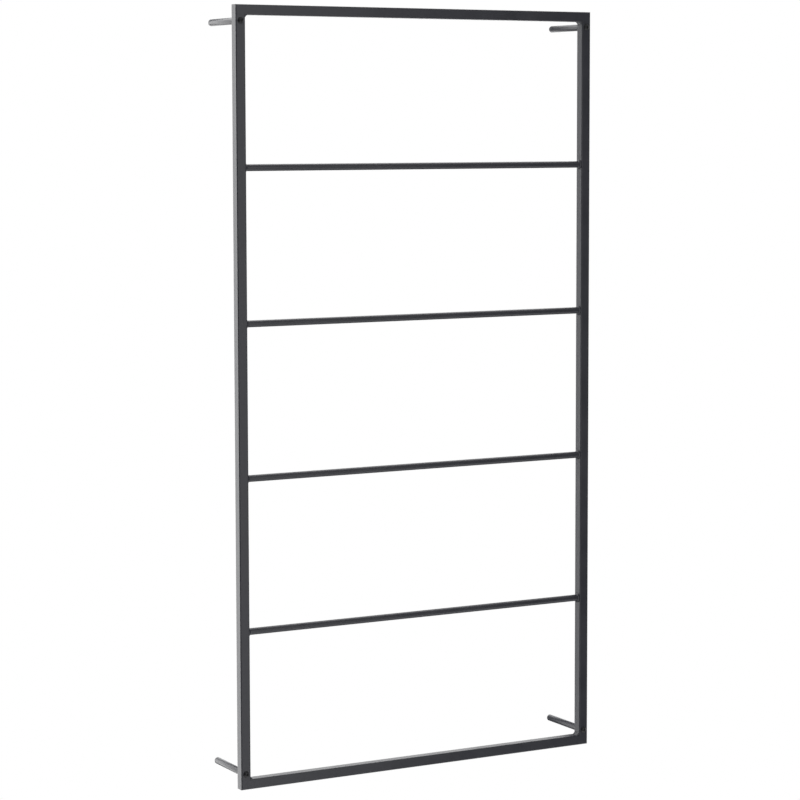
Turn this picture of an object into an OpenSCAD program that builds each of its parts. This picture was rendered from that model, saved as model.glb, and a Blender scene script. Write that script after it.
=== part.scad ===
// Wall-mounted ladder rack.
// A welded rectangular frame of square steel tube with four round rungs across it.
// Four round stand-off pegs hold the frame clear of the wall, each with one screw
// that enters from the front of an upright.
//
// Frame: X across the rack, +Y into the wall, +Z up, millimetres.
// The origin is on the wall, at the centre of the four pegs.

/* [Frame] */
// Overall width of the frame
frame_w = 600; // [400:10:1000]
// Overall height of the frame
frame_h = 1140; // [700:10:1800]
// Distance from the wall to the front face of the frame
stand_off = 100; // [90:5:160]
// Outside width of the square tube
tube_w = 15; // [15:1:20]
// Wall thickness of the square tube
tube_wall = 1.2; // [1:0.1:2]
// Outside corner radius of the square tube
tube_edge_r = 1.5; // [1:0.1:2]

/* [Rungs] */
// Diameter of the solid round rungs
rung_d = 10; // [8:0.5:12]
// Reach of a rung's weld along the rung
rung_weld_along = 3; // [2:0.1:4]
// Reach of a rung's weld up and down the upright
rung_weld_out = 2.6; // [2:0.1:4]

/* [Corner welds] */
// Length of each side of the weld inside a corner of the frame
corner_weld_leg = 4.6; // [3:0.1:6]
// Radius of the weld's hollow face
corner_weld_face_r = 9; // [7:0.5:20]

/* [Pegs] */
// Diameter of the stand-off pegs
peg_d = 10; // [10:0.5:14]
// Height from the frame's outer edge to a peg's axis
peg_inset = 23; // [20:1:80]
// Bevel at both ends of a peg
peg_bevel = 0.8; // [0.4:0.1:1.2]
// Bore of the threaded hole in the wall end, an M6 thread at its outer diameter
wall_hole_d = 6; // [6:0.1:6.2]
// Depth of the threaded hole in the wall end
wall_hole_depth = 30; // [20:1:30]

/* [Peg screws] */
// Shank diameter of the button-head screw, M5
screw_d = 5; // [4:0.5:5]
// Length of the screw under its head
screw_len = 30; // [25:5:30]
// Head diameter
screw_head_d = 9.5; // [9:0.1:10]
// Head height
screw_head_h = 2.75; // [2.5:0.05:3]
// Key size of the hexagon socket, across its flats
socket_af = 3; // [2.5:0.5:3]
// Depth of the hexagon socket
socket_depth = 1.6; // [1.2:0.1:1.8]

/* [Hidden] */

// Rungs, spaced so that every opening has the same height
RUNG_COUNT = 4;
$fn = 64;
LEFT = -1;
RIGHT = 1;
BOTTOM = -1;
TOP = 1;
COAT = "#3b3b3f";
FIXING = "#2a2a2c";

// The middle plane of the frame tubes, from the wall
frame_y = -stand_off + tube_w / 2;
// Half the distance between the uprights' centrelines, and between the rails'
upright_x = frame_w / 2 - tube_w / 2;
rail_z = frame_h / 2 - tube_w / 2;
// The uprights' and rails' inner faces
inner_x = frame_w / 2 - tube_w;
inner_z = frame_h / 2 - tube_w;
// Height of the peg axes above and below the middle
peg_z = frame_h / 2 - peg_inset;
peg_len = stand_off - tube_w;
// Flat width of a tube face between its rounded edges
tube_flat = tube_w - 2 * tube_edge_r;
// Rungs divide the height between the rails' centrelines into equal steps
rung_step = 2 * rail_z / (RUNG_COUNT + 1);
// Clearance hole for a screw through both walls of the tube
screw_hole_d = screw_d + 0.5;
// A screw's thread hole in the peg, with a little room past the screw's end
thread_gap = 0.05;
thread_end_room = 3;
peg_screw_hole_d = screw_d + 2 * thread_gap;
peg_screw_hole_depth = screw_len - tube_w + thread_end_room;
// Room to cut past a face
cut = 1;

function rung_z(i) = rail_z - i * rung_step;

// ---------------------------------------------------------------- tube

// A square with rounded corners, centred
module rounded_square(side, r) {
    square([side - 2 * r, side], center = true);
    square([side, side - 2 * r], center = true);
    for (x = [-1, 1], y = [-1, 1])
        translate([x * (side / 2 - r), y * (side / 2 - r)]) circle(r = r);
}

// Square tube along +Z, centred on its axis and on its length
module square_tube(length) {
    inner_side = tube_w - 2 * tube_wall;
    inner_r = max(tube_edge_r - tube_wall, 0.3);
    linear_extrude(height = length, center = true)
        difference() {
            rounded_square(tube_w, tube_edge_r);
            rounded_square(inner_side, inner_r);
        }
}

// Cuts both ends of a tube along +Z at 45 degrees.
// The tube keeps its full length on the side that faces +X.
module mitre_ends(length) {
    block = 4 * tube_w;
    for (end = [BOTTOM, TOP])
        translate([tube_w / 2, 0, end * length / 2])
            rotate([0, -end * 45, 0])
                translate([-block / 2 - cut, -block / 2, end > 0 ? 0 : -block])
                    cube([block, block, block]);
}

// Mitred tube along +Z with its long side at +X
module mitred_tube(length) {
    difference() {
        square_tube(length);
        mitre_ends(length);
    }
}

// ------------------------------------------------------------- members

// Upright on one side, with a clearance hole through both walls for each peg screw
module upright(side) {
    difference() {
        translate([side * upright_x, frame_y, 0])
            rotate([0, 0, side > 0 ? 0 : 180]) mitred_tube(frame_h);
        for (end = [BOTTOM, TOP])
            translate([side * upright_x, -stand_off - cut, end * peg_z])
                rotate([-90, 0, 0]) cylinder(h = tube_w + 2 * cut, d = screw_hole_d);
    }
}

// Rail across the top or the bottom
module rail(end) {
    translate([0, frame_y, end * rail_z])
        rotate([0, -end * 90, 0]) mitred_tube(frame_w);
}

// Rung number i, counted from the top, between the uprights' inner faces
module rung(i) {
    color(COAT)
        translate([-inner_x, frame_y, rung_z(i)])
            rotate([0, 90, 0]) cylinder(h = 2 * inner_x, d = rung_d);
}

// --------------------------------------------------------------- welds

// Hollow-faced weld in the inner corner of two mitred tubes
module corner_weld(side, end) {
    // The face passes through the ends of both legs
    centre = (corner_weld_leg
        + sqrt(2 * pow(corner_weld_face_r, 2) - pow(corner_weld_leg, 2))) / 2;
    color(COAT)
        translate([side * inner_x, frame_y, end * inner_z])
            mirror([side > 0 ? 1 : 0, 0, 0])
                mirror([0, 0, end > 0 ? 1 : 0])
                    rotate([90, 0, 0])
                        linear_extrude(height = tube_flat, center = true)
                            difference() {
                                square(corner_weld_leg);
                                translate([centre, centre])
                                    circle(r = corner_weld_face_r, $fn = 128);
                            }
}

// Ring of weld where rung i meets an upright, no deeper than the tube's flat face
module rung_weld(i, side) {
    foot_r = rung_d / 2 + rung_weld_out;
    color(COAT)
        translate([side * inner_x, frame_y, rung_z(i)])
            rotate([0, -side * 90, 0])
                intersection() {
                    difference() {
                        cylinder(h = rung_weld_along, r1 = foot_r, r2 = rung_d / 2 + 0.3);
                        translate([0, 0, -cut])
                            cylinder(h = rung_weld_along + 2 * cut, d = rung_d);
                    }
                    cube([2 * foot_r + cut, tube_flat, 4 * rung_weld_along], center = true);
                }
}

// -------------------------------------------------------- pegs, screws

// Solid round peg between the back of an upright and the wall.
// It has a threaded hole in each end.
module peg(side, end) {
    color(COAT)
        translate([side * upright_x, -peg_len, end * peg_z])
            rotate([-90, 0, 0])
                difference() {
                    rotate_extrude()
                        polygon([
                            [0, 0], [peg_d / 2 - peg_bevel, 0], [peg_d / 2, peg_bevel],
                            [peg_d / 2, peg_len - peg_bevel],
                            [peg_d / 2 - peg_bevel, peg_len], [0, peg_len]
                        ]);
                    translate([0, 0, -cut])
                        cylinder(h = peg_screw_hole_depth + cut, d = peg_screw_hole_d);
                    translate([0, 0, peg_len - wall_hole_depth])
                        cylinder(h = wall_hole_depth + cut, d = wall_hole_d);
                }
}

// Button-head screw with a hexagon socket, its head on the front of an upright
module screw(side, end) {
    // The domed head is part of a ball whose rim is the head's edge
    rim_h = 0.4;
    dome_h = screw_head_h - rim_h;
    dome_r = (pow(screw_head_d / 2, 2) + pow(dome_h, 2)) / (2 * dome_h);
    color(FIXING)
        translate([side * upright_x, -stand_off, end * peg_z])
            rotate([90, 0, 0])
                difference() {
                    union() {
                        intersection() {
                            cylinder(h = screw_head_h, d = screw_head_d);
                            translate([0, 0, screw_head_h - dome_r]) sphere(r = dome_r);
                        }
                        translate([0, 0, -screw_len])
                            cylinder(h = screw_len + rim_h / 2, d = screw_d);
                    }
                    translate([0, 0, screw_head_h - socket_depth])
                        cylinder(h = socket_depth + cut, d = socket_af / cos(30), $fn = 6);
                }
}

// ------------------------------------------------------ named subparts

module left_upright() { color(COAT) upright(LEFT); }
module right_upright() { color(COAT) upright(RIGHT); }
module top_rail() { color(COAT) rail(TOP); }
module bottom_rail() { color(COAT) rail(BOTTOM); }

left_upright();
right_upright();
top_rail();
bottom_rail();

rung(1);  // rung_1
rung(2);  // rung_2
rung(3);  // rung_3
rung(4);  // rung_4

corner_weld(LEFT, TOP);  // corner_weld_top_left
corner_weld(RIGHT, TOP);  // corner_weld_top_right
corner_weld(LEFT, BOTTOM);  // corner_weld_bottom_left
corner_weld(RIGHT, BOTTOM);  // corner_weld_bottom_right

rung_weld(1, LEFT);  // rung_1_weld_left
rung_weld(1, RIGHT);  // rung_1_weld_right
rung_weld(2, LEFT);  // rung_2_weld_left
rung_weld(2, RIGHT);  // rung_2_weld_right
rung_weld(3, LEFT);  // rung_3_weld_left
rung_weld(3, RIGHT);  // rung_3_weld_right
rung_weld(4, LEFT);  // rung_4_weld_left
rung_weld(4, RIGHT);  // rung_4_weld_right

peg(LEFT, TOP);  // peg_top_left
peg(RIGHT, TOP);  // peg_top_right
peg(LEFT, BOTTOM);  // peg_bottom_left
peg(RIGHT, BOTTOM);  // peg_bottom_right

screw(LEFT, TOP);  // screw_top_left
screw(RIGHT, TOP);  // screw_top_right
screw(LEFT, BOTTOM);  // screw_bottom_left
screw(RIGHT, BOTTOM);  // screw_bottom_right
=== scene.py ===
import math

import bpy
from mathutils import Matrix, Vector, noise

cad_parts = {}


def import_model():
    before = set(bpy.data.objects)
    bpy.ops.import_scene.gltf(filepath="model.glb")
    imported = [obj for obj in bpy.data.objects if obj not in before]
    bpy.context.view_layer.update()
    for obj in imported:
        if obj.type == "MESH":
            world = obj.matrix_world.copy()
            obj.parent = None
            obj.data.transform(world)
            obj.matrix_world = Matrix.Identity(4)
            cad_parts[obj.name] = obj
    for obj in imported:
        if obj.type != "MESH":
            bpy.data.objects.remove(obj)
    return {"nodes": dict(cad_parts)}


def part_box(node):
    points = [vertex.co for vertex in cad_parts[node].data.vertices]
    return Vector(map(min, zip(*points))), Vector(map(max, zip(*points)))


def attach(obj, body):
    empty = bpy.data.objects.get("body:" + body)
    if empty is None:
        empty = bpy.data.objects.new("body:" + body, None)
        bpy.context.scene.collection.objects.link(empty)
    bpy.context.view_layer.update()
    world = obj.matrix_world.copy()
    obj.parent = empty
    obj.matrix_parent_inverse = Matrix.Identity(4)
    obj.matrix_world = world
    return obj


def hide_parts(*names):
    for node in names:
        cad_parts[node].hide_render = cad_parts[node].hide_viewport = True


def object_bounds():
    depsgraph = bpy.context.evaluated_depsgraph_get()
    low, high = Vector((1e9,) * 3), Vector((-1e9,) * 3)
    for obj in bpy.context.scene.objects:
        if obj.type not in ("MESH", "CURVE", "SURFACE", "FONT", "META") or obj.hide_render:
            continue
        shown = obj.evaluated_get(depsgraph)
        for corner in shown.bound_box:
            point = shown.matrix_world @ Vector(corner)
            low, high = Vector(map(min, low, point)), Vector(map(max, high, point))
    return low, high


# ------------------------------------------------------------------ the frame

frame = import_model()
CAD_LOW, CAD_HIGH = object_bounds()
NODES = frame["nodes"]
BODY = "root"
MM = 0.001

SIDES = {"left": -1, "right": 1}
ENDS = {"top": 1, "bottom": -1}
RUNGS = (1, 2, 3, 4)


def centre(node):
    low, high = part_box(node)
    return (low + high) / 2


def size(node):
    low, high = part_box(node)
    return high - low


# The tubes' middle plane, the uprights' inner faces and the rails' inner faces
FRAME_Y = centre("rung_1").y
INNER_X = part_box("rung_1")[1].x
INNER_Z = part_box("top_rail")[0].z
TUBE = size("top_rail").z
RUNG_R = size("rung_1").z / 2

# ------------------------------------------------------------------ materials


class Nodes:
    """A material's node tree, with short ways to add and join nodes."""

    def __init__(self, name):
        self.material = bpy.data.materials.new(name)
        self.material.use_nodes = True
        self.tree = self.material.node_tree
        self.tree.nodes.clear()
        self.output = self.add("ShaderNodeOutputMaterial")

    def add(self, kind, inputs=None, **settings):
        node = self.tree.nodes.new(kind)
        for key, value in settings.items():
            setattr(node, key, value)
        for key, value in (inputs or {}).items():
            if isinstance(value, bpy.types.NodeSocket):
                self.tree.links.new(value, node.inputs[key])
            else:
                node.inputs[key].default_value = value
        return node

    def place(self):
        """Coordinates in the object's own frame, in metres."""
        return self.add("ShaderNodeTexCoord").outputs["Object"]

    def noise(self, scale, detail=2.0, roughness=0.5):
        inputs = {"Scale": scale, "Detail": detail, "Roughness": roughness}
        inputs["Vector"] = self.place()
        return self.add("ShaderNodeTexNoise", inputs).outputs["Fac"]

    def spread(self, value, low, high, to_low=0.0, to_high=1.0):
        """value from low..high mapped to to_low..to_high, and held at the ends."""
        inputs = {0: value, 1: low, 2: high, 3: to_low, 4: to_high}
        return self.add("ShaderNodeMapRange", inputs, clamp=True).outputs["Result"]

    def maths(self, operation, a, b):
        return self.add("ShaderNodeMath", {0: a, 1: b}, operation=operation).outputs[0]

    def colours(self, value, stops):
        """A colour ramp over value, with stops of (position, colour)."""
        ramp = self.add("ShaderNodeValToRGB", {"Fac": value})
        points = ramp.color_ramp.elements
        while len(points) < len(stops):
            points.new(0.5)
        for point, (position, colour) in zip(points, stops):
            point.position = position
            point.color = (*colour, 1.0)
        return ramp.outputs["Color"]

    def bump(self, height, distance):
        inputs = {"Height": height, "Distance": distance, "Strength": 1.0}
        return self.add("ShaderNodeBump", inputs).outputs["Normal"]

    def surface(self, **inputs):
        """The Principled shader, joined to the output."""
        named = {key.replace("_", " "): value for key, value in inputs.items()}
        shader = self.add("ShaderNodeBsdfPrincipled", named)
        self.tree.links.new(shader.outputs["BSDF"], self.output.inputs["Surface"])
        return self.material


# The noises' scales, per metre: clouds of about 45 mm, orange peel of 1.5 mm, grains of 0.5 mm
# and grit of 0.4 mm on the coat, and mottling of 2.4 mm and grain of 0.2 mm on the screws
CLOUDS, PEEL, GRAINS, GRIT = 22.0, 650.0, 1900.0, 2600.0
MOTTLING, SCREW_GRAIN = 420.0, 5200.0
PEEL_HEIGHT = 0.03 * MM
SCREW_GRAIN_HEIGHT = 0.01 * MM

COAT_DEEP = (0.026, 0.027, 0.035)
COAT_PLAIN = (0.033, 0.034, 0.043)
COAT_GRAIN = (0.056, 0.057, 0.068)
ZINC_DEEP = (0.006, 0.006, 0.008)
ZINC_WORN = (0.014, 0.014, 0.017)


def powder_coat():
    """Satin anthracite powder coat: soft clouds, pale grains in it, orange peel and fine grit."""
    n = Nodes("powder_coat_satin")
    clouds = n.noise(CLOUDS, 4.0, 0.6)
    grains = n.spread(n.noise(GRAINS, 1.0, 0.4), 0.66, 0.74)
    tone = n.maths("ADD", n.spread(clouds, 0.32, 0.68, 0.0, 0.7), n.maths("MULTIPLY", grains, 0.3))
    base = n.colours(tone, [(0.0, COAT_DEEP), (0.7, COAT_PLAIN), (1.0, COAT_GRAIN)])
    peel = n.noise(PEEL, 2.0, 0.45)
    grit = n.noise(GRIT, 2.0, 0.5)
    height = n.maths("ADD", peel, n.maths("MULTIPLY", grit, 0.22))
    rough = n.maths("ADD", n.spread(clouds, 0.3, 0.7, 0.27, 0.33), n.maths("MULTIPLY", grit, 0.03))
    normal = n.bump(height, PEEL_HEIGHT)
    return n.surface(Base_Color=base, Roughness=rough, Normal=normal, IOR=1.5)


def screw_steel():
    """Black zinc on the button-head screws: darker and duller than the coat."""
    n = Nodes("black_zinc")
    clouds = n.noise(MOTTLING, 3.0, 0.6)
    base = n.colours(n.spread(clouds, 0.3, 0.7), [(0.0, ZINC_DEEP), (1.0, ZINC_WORN)])
    rough = n.spread(clouds, 0.3, 0.7, 0.36, 0.48)
    normal = n.bump(n.noise(SCREW_GRAIN, 2.0), SCREW_GRAIN_HEIGHT)
    return n.surface(Base_Color=base, Roughness=rough, Normal=normal, IOR=1.45)


COAT = powder_coat()
STEEL = screw_steel()

# The tubes and rungs keep the CAD's meshes. Every other node is replaced below.
for node in NODES.values():
    node.data.materials.clear()
    node.data.materials.append(COAT)

# --------------------------------------------------------------------- meshes


def piece(name, rings, nodes, material, closed_rows, caps=False, sharp=35.0):
    """A piece whose skin joins rings of points. closed_rows joins the last ring to the first."""
    count = len(rings[0])
    points = [p for ring in rings for p in ring]
    rows = len(rings) if closed_rows else len(rings) - 1
    faces = []
    for row in range(rows):
        here, there = row * count, (row + 1) % len(rings) * count
        for i in range(count):
            j = (i + 1) % count
            faces.append((here + i, here + j, there + j, there + i))
    if caps:
        faces.append(tuple(reversed(range(count))))
        faces.append(tuple(range((len(rings) - 1) * count, len(rings) * count)))
    mesh = bpy.data.meshes.new(name)
    mesh.from_pydata(points, [], faces)
    mesh.validate()
    mesh.update()
    volume = sum(
        mesh.vertices[f.vertices[0]].co.dot(f.normal) * f.area for f in mesh.polygons
    )
    if volume < 0:
        mesh.flip_normals()
    mesh.shade_smooth()
    mesh.set_sharp_from_angle(angle=math.radians(sharp))
    mesh.materials.append(material)
    made = bpy.data.objects.new(name, mesh)
    bpy.context.scene.collection.objects.link(made)
    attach(made, BODY)
    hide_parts(*nodes)
    return made


def uneven(point, scale, seed):
    """Smooth noise from -1 to 1 at a point."""
    return noise.noise(Vector(point) * scale + Vector((seed * 17.3, seed * 5.1, seed * 9.7)))


# ---------------------------------------------------------------------- welds

RUNG_WELD_REACH = 3.0 * MM
RUNG_WELD_UP = 7.7 * MM
RUNG_WELD_ACROSS = 6.3 * MM
WELD_SWELL = 0.30 * MM
WELD_SUNK = 0.2 * MM
RIPPLE = 0.16 * MM


def ripple(turns, across):
    """Height from 0 to 1 of the weld's stacked crescents. across runs from -1 to 1 over the bead."""
    phase = turns + 0.45 * across * across
    wave = abs(2.0 * (phase - math.floor(phase)) - 1.0)
    return 1.0 - wave**1.6


def rung_weld(number, side_name):
    """Rippled ring of weld round a rung, flattened to stay on the tube's flat face."""
    side = SIDES[side_name]
    seed = number + (0.5 if side > 0 else 0.0)
    z = centre(f"rung_{number}").z
    ripples, steps, over = 27, 7, 9
    rings = []
    for k in range(ripples * steps):
        turn = k / (ripples * steps)
        angle = math.tau * turn
        up, across = math.sin(angle), math.cos(angle)
        wander = 0.28 * MM * uneven((up, across, 0.0), 2.3, seed)
        foot = 1.0 / math.hypot(up / RUNG_WELD_UP, across / RUNG_WELD_ACROSS) + wander
        reach = RUNG_WELD_REACH + 0.25 * MM * uneven((up, across, 4.0), 2.9, seed)
        inside = RUNG_R - 0.3 * MM
        ring = [(inside, -WELD_SUNK), (inside, reach)]
        for i in range(over):
            t = i / (over - 1)
            bulge = math.sin(math.pi * t)
            swell = WELD_SWELL * bulge + RIPPLE * ripple(turn * ripples, 2 * t - 1) * bulge**0.6
            slope = Vector((reach, foot - RUNG_R)).normalized()
            radius = RUNG_R + (foot - RUNG_R) * t + slope.x * swell
            ring.append((radius, reach * (1 - t) + slope.y * swell))
        ring.append((foot, -WELD_SUNK))
        rings.append(
            [(side * (INNER_X - h), FRAME_Y + across * r, z + up * r) for r, h in ring]
        )
    name = f"rung_{number}_weld_{side_name}"
    piece(name + "_bead", rings, [name], COAT, closed_rows=True, sharp=60.0)


CORNER_LEG = 4.6 * MM
CORNER_FACE_R = 9.0 * MM
TUBE_EDGE_R = 1.5 * MM


def corner_weld(side_name, end_name):
    """Rippled hollow weld that fills an inner corner of the frame, from front to back."""
    side, end = SIDES[side_name], ENDS[end_name]
    seed = 11 + side + 3 * end
    half = TUBE / 2 - TUBE_EDGE_R
    ripples, steps, over = 9, 8, 13
    rings = []
    for k in range(ripples * steps + 1):
        along = k / (ripples * steps)
        y = FRAME_Y + half * (2 * along - 1)
        leg = CORNER_LEG * (1 - 0.22 * abs(2 * along - 1) ** 5)
        leg += 0.2 * MM * uneven((0, along * 3, 0), 1.7, seed)
        middle = (leg + math.sqrt(2 * CORNER_FACE_R**2 - leg**2)) / 2
        start = math.atan2(leg - middle, -middle)
        stop = math.atan2(-middle, leg - middle)
        ring = [(-WELD_SUNK, -WELD_SUNK), (-WELD_SUNK, leg)]
        for i in range(over):
            t = i / (over - 1)
            turn = start + (stop - start) * t
            lift = RIPPLE * ripple(along * ripples, 2 * t - 1) * math.sin(math.pi * t) ** 0.6
            r = CORNER_FACE_R - lift
            ring.append((middle + r * math.cos(turn), middle + r * math.sin(turn)))
        ring.append((leg, -WELD_SUNK))
        rings.append([(side * (INNER_X - a), y, end * (INNER_Z - b)) for a, b in ring])
    name = f"corner_weld_{end_name}_{side_name}"
    piece(name + "_bead", rings, [name], COAT, closed_rows=False, caps=True, sharp=60.0)


# ------------------------------------------------------------ pegs and screws


def turned(name, profile, middle, along, count, nodes, material, sharp=35.0):
    """A turned piece along Y. profile has (radius, distance) pairs, where radius may depend on
    the angle, and distance runs along the direction +1 or -1 in Y from the point middle."""
    rings = []
    for radius, distance in profile:
        ring = []
        for i in range(count):
            angle = math.tau * i / count
            r = radius(angle) if callable(radius) else radius
            ring.append(
                (
                    middle.x + r * math.cos(angle),
                    middle.y + along * distance,
                    middle.z + r * math.sin(angle),
                )
            )
        rings.append(ring)
    return piece(name, rings, nodes, material, closed_rows=False, caps=True, sharp=sharp)


TINY = 0.02 * MM
THREAD_PITCH = 1.0 * MM
THREAD_CREST = 2.46 * MM
THREAD_ROOT = 2.98 * MM


def thread(distance, fade):
    """Radius of the M6 thread inside a hole at this depth, as a function of the angle."""

    def radius(angle):
        phase = distance / THREAD_PITCH + angle / math.tau
        wave = abs(2.0 * (phase - math.floor(phase)) - 1.0)
        flat = min(max((wave - 0.12) / 0.7, 0.0), 1.0)
        return THREAD_ROOT - (THREAD_ROOT - THREAD_CREST) * (1.0 - flat) * fade

    return radius


def peg(side_name, end_name):
    """Peg with rolled edges. Its wall end has a countersunk and threaded hole."""
    name = f"peg_{end_name}_{side_name}"
    low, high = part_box(name)
    length = high.y - low.y
    r = (high.x - low.x) / 2
    bevel, soft = 0.8 * MM, 0.25 * MM
    hole, deep, mouth = 3.0 * MM, 30.0 * MM, 3.35 * MM
    threaded, rows = 14.0 * MM, 8
    start, run_in = 0.6 * MM, 0.8 * MM
    screw_r, screw_deep = 2.6 * MM, 18 * MM
    profile = [(TINY, deep + 1.5 * MM), (THREAD_CREST, deep), (THREAD_CREST, threaded)]
    count = int(threaded / THREAD_PITCH * rows)
    for k in range(count, -1, -1):
        distance = start + (threaded - start) * k / count
        fade = min(1.0, (distance - start) / run_in)
        profile.append((thread(distance, fade), distance))
    profile += [(hole, 0.35 * MM), (mouth, 0.0), (r - bevel - soft, 0.0)]
    profile += [(r - bevel, 0.05 * MM), (r - 0.1 * MM, bevel - 0.1 * MM), (r, bevel + soft)]
    profile += [(r, length / 2), (r, length - bevel - soft)]
    profile += [(r - 0.1 * MM, length - bevel + 0.1 * MM), (r - bevel, length - 0.05 * MM)]
    profile += [(r - bevel - soft, length), (screw_r, length)]
    profile += [(screw_r, length - screw_deep), (TINY, length - screw_deep - 1 * MM)]
    middle = Vector(((low.x + high.x) / 2, high.y, (low.z + high.z) / 2))
    turned(name + "_turned", profile, middle, -1, 64, [name], COAT, sharp=28.0)


def hexagon(flats, turn):
    """Radius of a hexagon with this width across its flats, as a function of the angle."""

    def radius(angle):
        part = (angle + turn) % (math.pi / 3) - math.pi / 6
        return flats / 2 / math.cos(part)

    return radius


def screw(side_name, end_name, turn):
    """Button-head screw with a hexagon socket, its edges rolled over."""
    name = f"screw_{end_name}_{side_name}"
    low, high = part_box(name)
    x, z = (low.x + high.x) / 2, (low.z + high.z) / 2
    rim = (high.x - low.x) / 2
    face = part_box("top_rail")[0].y
    head = face - low.y
    depth = high.y - face
    flats, socket, lip, shank = 3.0 * MM, 1.6 * MM, 0.4 * MM, 2.5 * MM
    # The dome would reach this height if the socket didn't cut its middle away
    apex = head + 0.18 * MM
    ball = (rim**2 + (apex - lip) ** 2) / (2 * (apex - lip))

    def dome(r):
        return apex - ball + math.sqrt(ball**2 - r**2)

    profile = [(TINY, -depth), (shank - 0.5 * MM, -depth), (shank, -depth + 0.6 * MM)]
    profile += [(shank, 0.0), (rim - 0.12 * MM, 0.0), (rim, 0.12 * MM)]
    profile += [(rim, lip - 0.08 * MM), (rim - 0.05 * MM, dome(rim - 0.05 * MM))]
    crown, rows = 2.05 * MM, 9
    for k in range(1, rows + 1):
        r = rim - 0.05 * MM + (crown - rim + 0.05 * MM) * k / rows
        profile.append((r, dome(r)))
    top = dome(crown)
    profile += [(crown - 0.12 * MM, top), (hexagon(flats + 0.25 * MM, turn), top - 0.12 * MM)]
    profile += [(hexagon(flats, turn), top - 0.3 * MM), (hexagon(flats, turn), top - socket)]
    profile += [(hexagon(flats * 0.9, turn), top - socket), (TINY, top - socket - 0.5 * MM)]
    middle = Vector((x, face, z))
    turned(name + "_turned", profile, middle, -1, 72, [name], STEEL, sharp=38.0)


for number in RUNGS:
    for side_name in SIDES:
        rung_weld(number, side_name)

for index, end_name in enumerate(ENDS):
    for side_name in SIDES:
        corner_weld(side_name, end_name)
        peg(side_name, end_name)
        screw(side_name, end_name, turn=0.35 + 0.5 * index + 0.23 * SIDES[side_name])

# ------------------------------------------------------------ floor and light


def softbox(name, place, aim, extent, radiance):
    """A soft rectangular lamp that shines with this radiance and isn't seen itself."""
    data = bpy.data.lights.new(name, "AREA")
    data.shape = "RECTANGLE"
    data.size, data.size_y = extent
    data.energy = radiance * extent[0] * extent[1] * math.pi
    lamp = bpy.data.objects.new(name, data)
    lamp.location = place
    lamp.rotation_euler = (Vector(aim) - Vector(place)).to_track_quat("-Z", "Y").to_euler()
    lamp.visible_camera = False
    bpy.context.scene.collection.objects.link(lamp)


def floor():
    """Plain white studio floor. It's as white as the world behind it, not brighter, because
    a brighter ground eats into thin dark parts. Only the camera sees it."""
    half, drop = 30.0, 0.35
    z = CAD_LOW.z - drop
    mesh = bpy.data.meshes.new("studio_floor")
    corners = [(-half, -half, z), (half, -half, z), (half, half, z), (-half, half, z)]
    mesh.from_pydata(corners, [], [(0, 1, 2, 3)])
    thing = bpy.data.objects.new("studio_floor", mesh)
    bpy.context.scene.collection.objects.link(thing)
    n = Nodes("studio_white")
    glow = n.add("ShaderNodeEmission", {"Color": (1.0, 1.0, 1.0, 1.0), "Strength": 1.0})
    n.tree.links.new(glow.outputs["Emission"], n.output.inputs["Surface"])
    mesh.materials.append(n.material)
    thing.visible_diffuse = thing.visible_glossy = thing.visible_shadow = False


def world(light):
    """White to the camera, and a dimmer even light on the object."""
    made = bpy.data.worlds.new("studio")
    bpy.context.scene.world = made
    made.use_nodes = True
    tree = made.node_tree
    back = tree.nodes["Background"]
    back.inputs["Color"].default_value = (1.0, 1.0, 1.0, 1.0)
    path = tree.nodes.new("ShaderNodeLightPath")
    level = tree.nodes.new("ShaderNodeMapRange")
    level.inputs["To Min"].default_value = light
    level.inputs["To Max"].default_value = 1.0
    tree.links.new(path.outputs["Is Camera Ray"], level.inputs["Value"])
    tree.links.new(level.outputs["Result"], back.inputs["Strength"])


# The softboxes' radiances give the tones that the photograph shows on each face. right_side
# lights the side that the photograph doesn't show.
floor()
world(0.1)
softbox("left_back", (-1.15, 1.0, 0.0), (-1.15, 0.0, 0.0), (1.5, 3.2), 2.65)
softbox("left_back_core", (-1.0, 1.0, 0.0), (-1.0, 0.0, 0.0), (1.0, 3.2), 1.85)
softbox("backdrop_right", (1.9, 3.2, -0.15), (1.9, 0.0, -0.15), (4.0, 2.8), 1.55)
softbox("right_side", (3.2, 1.4, 0.0), (0.0, 1.4, 0.0), (2.4, 3.6), 1.6)
softbox("front", (0.6, -3.6, 0.0), (0.6, 0.0, 0.0), (2.2, 5.2), 1.5)
softbox("overhead_back", (0.0, 0.7, 1.3), (0.0, 0.7, 0.0), (3.0, 1.4), 2.36)
softbox("overhead_front", (0.0, -1.5, 2.6), (0.0, -1.5, 0.0), (6.0, 3.0), 0.58)
softbox("bounce_front", (0.0, -1.5, -2.6), (0.0, -1.5, 0.0), (6.0, 3.0), 1.15)
softbox("bounce_back", (0.0, 1.5, -2.6), (0.0, 1.5, 0.0), (6.0, 3.0), 0.15)

# --------------------------------------------------------------------- camera


def camera(place, heading, pitch, roll, focal, shift):
    """focal is the focal length as a multiple of the picture's width. Angles are in degrees."""
    data = bpy.data.cameras.new("photo_view")
    data.sensor_width = 36.0
    data.lens = focal * data.sensor_width
    data.shift_y = shift
    data.clip_end = 200.0
    eye = bpy.data.objects.new("photo_view", data)
    turn = (
        Matrix.Rotation(math.radians(heading), 4, "Z")
        @ Matrix.Rotation(math.radians(90 + pitch), 4, "X")
        @ Matrix.Rotation(math.radians(roll), 4, "Z")
    )
    eye.matrix_world = Matrix.Translation(place) @ turn
    bpy.context.scene.collection.objects.link(eye)
    bpy.context.scene.camera = eye


camera((-1.911, -3.507, 0.393), -28.845, -5.215, -0.122, 2623 / 800, -0.04)

scene = bpy.context.scene
scene.view_settings.view_transform = "Standard"
scene.view_settings.look = "None"
